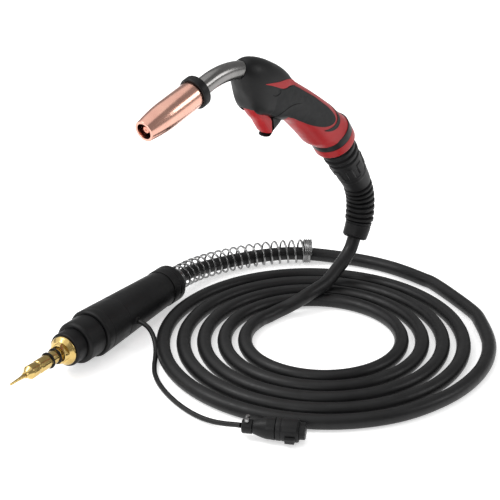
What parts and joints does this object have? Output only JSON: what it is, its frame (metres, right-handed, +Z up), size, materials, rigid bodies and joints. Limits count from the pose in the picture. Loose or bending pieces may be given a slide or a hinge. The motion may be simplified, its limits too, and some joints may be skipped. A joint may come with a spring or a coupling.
{
  "type": "mig_welding_torch",
  "caption": "Gooseneck MIG welding torch with pistol grip, trigger and ball-jointed handle, on a coiled power cable with a pin connector and a control lead ending in a plug",
  "frame": {"origin": "the middle of the hand grip, inside the handle", "axes": "+Z up; +X from the nozzle towards the rear of the handle, level; +Y to the side of the handle away from the coil's open end"},
  "size_m": [0.4456, 0.3531, 0.281],
  "materials": {
    "copper": "warm polished copper",
    "brass": "turned and lightly polished",
    "steel": "brushed, heat-dulled",
    "spring_steel": "bright drawn wire",
    "red_plastic": "satin moulded",
    "black_plastic": "satin moulded",
    "soft_grip": "soft-touch, fine grain",
    "rubber": "moulded rubber",
    "cable_rubber": "satin cable jacket",
    "white_plastic": "low-friction plastic"
  },
  "bodies": {
    "cable_set": {"anti_kink_spring": "spring_steel", "bend_relief": "rubber", "cable_coil": "cable_rubber", "cable_inside_relief": "cable_rubber", "cable_tail": "cable_rubber", "cable_upper": "cable_rubber", "connector_core": "brass", "connector_front_collar": "rubber", "connector_housing": "rubber", "connector_nose_ring": "rubber", "connector_rear_collar": "rubber", "control_lead": "cable_rubber", "knuckle_collar": "rubber", "knuckle_sleeve": "rubber", "lead_grommet": "rubber", "pin_flange": "brass", "pin_oring_1": "rubber", "pin_oring_2": "rubber", "plug_backshell": "black_plastic", "plug_clamp": "black_plastic", "plug_clamp_screw_1": "steel", "plug_clamp_screw_2": "steel", "plug_insert": "black_plastic", "power_pin": "brass", "relief_cuff": "rubber", "swivel_ball": "black_plastic", "wire_inlet": "brass"},
    "seat": {"seat_liner": "white_plastic"},
    "friction_seat": {"friction_liner": "white_plastic"},
    "torch_head": {"gas_nozzle": "copper", "contact_tip": "copper", "gas_diffuser": "brass", "nozzle_clip": "spring_steel", "nozzle_insulator": "black_plastic", "neck_tube": "steel", "neck_conductor": "copper", "neck_liner": "spring_steel", "neck_clamp_block": "brass", "power_core": "cable_rubber", "hood_left": "black_plastic", "hood_right": "black_plastic", "grip_shell_left": "red_plastic", "grip_shell_right": "red_plastic", "grip_pad_left": "soft_grip", "grip_pad_right": "soft_grip", "grip_band": "black_plastic", "rear_rim": "red_plastic", "shell_screw_1": "steel", "shell_screw_2": "steel", "shell_screw_3": "steel", "trigger_pin": "steel", "trigger_spring": "spring_steel", "micro_switch": "black_plastic"},
    "trigger_lever": {"trigger": "red_plastic"},
    "plunger": {"switch_plunger": "white_plastic"},
    "coupling_ring": {"plug_coupling_ring": "black_plastic", "plug_key_tab": "black_plastic"}
  },
  "joints": [
    {"name": "ball_pitch", "type": "hinge", "parent": "cable_set", "child": "seat", "pos_m": [0.05282, 0, -0.04358], "axis": [0, 1, 0], "range_deg": [-9, 9]},
    {"name": "ball_yaw", "type": "hinge", "parent": "seat", "child": "friction_seat", "pos_m": [0.05282, 0, -0.04358], "axis": [0.809, 0, 0.5878], "range_deg": [-9, 9]},
    {"name": "handle_twist", "type": "hinge", "parent": "friction_seat", "child": "torch_head", "pos_m": [0.05282, 0, -0.04358], "axis": [0.5878, 0, -0.809], "range_deg": [-30, 30]},
    {"name": "trigger_pull", "type": "hinge", "parent": "torch_head", "child": "trigger_lever", "pos_m": [-0.0715, 0, 0.0285], "axis": [0, -1, 0], "range_deg": [0, 4], "stiffness_Nm_per_rad": 0.6, "springref_deg": -14.32},
    {"name": "switch_press", "type": "slide", "parent": "torch_head", "child": "plunger", "axis": [0.848, 0, 0.5299], "range_m": [0, 0.00182]},
    {"name": "plug_ring_turn", "type": "hinge", "parent": "cable_set", "child": "coupling_ring", "pos_m": [-0.2014, -0.1003, -0.2012], "axis": [0.5019, -0.8649, 0], "range_deg": [0, 40]}
  ],
  "couplings": [
    {"joint": "switch_press", "follows": "trigger_pull", "m_per_rad": 0.026}
  ]
}
